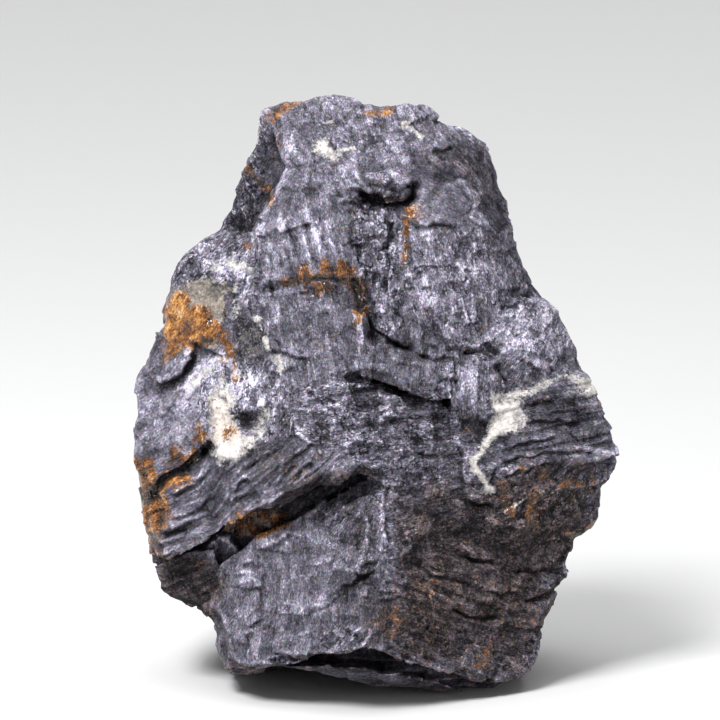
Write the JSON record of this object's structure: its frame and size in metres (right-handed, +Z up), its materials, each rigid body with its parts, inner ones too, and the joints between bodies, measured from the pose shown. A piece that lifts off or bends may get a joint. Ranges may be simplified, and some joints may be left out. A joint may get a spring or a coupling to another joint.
{
  "type": "galena specimen",
  "caption": "Hand-sized broken lump of massive galena with ledges, cleavage steps and a flat-footed base.",
  "frame": {"origin": "middle of the box around the rock, on the surface it stands on", "axes": "+Z up, -Y out of the front face, +X to the right of the front face"},
  "size_m": [0.065, 0.0472, 0.0778],
  "materials": {
    "galena": "metallic lead grey, with white quartz and rusty limonite stains"
  },
  "bodies": {
    "root": {"galena": "galena"}
  },
  "joints": []
}
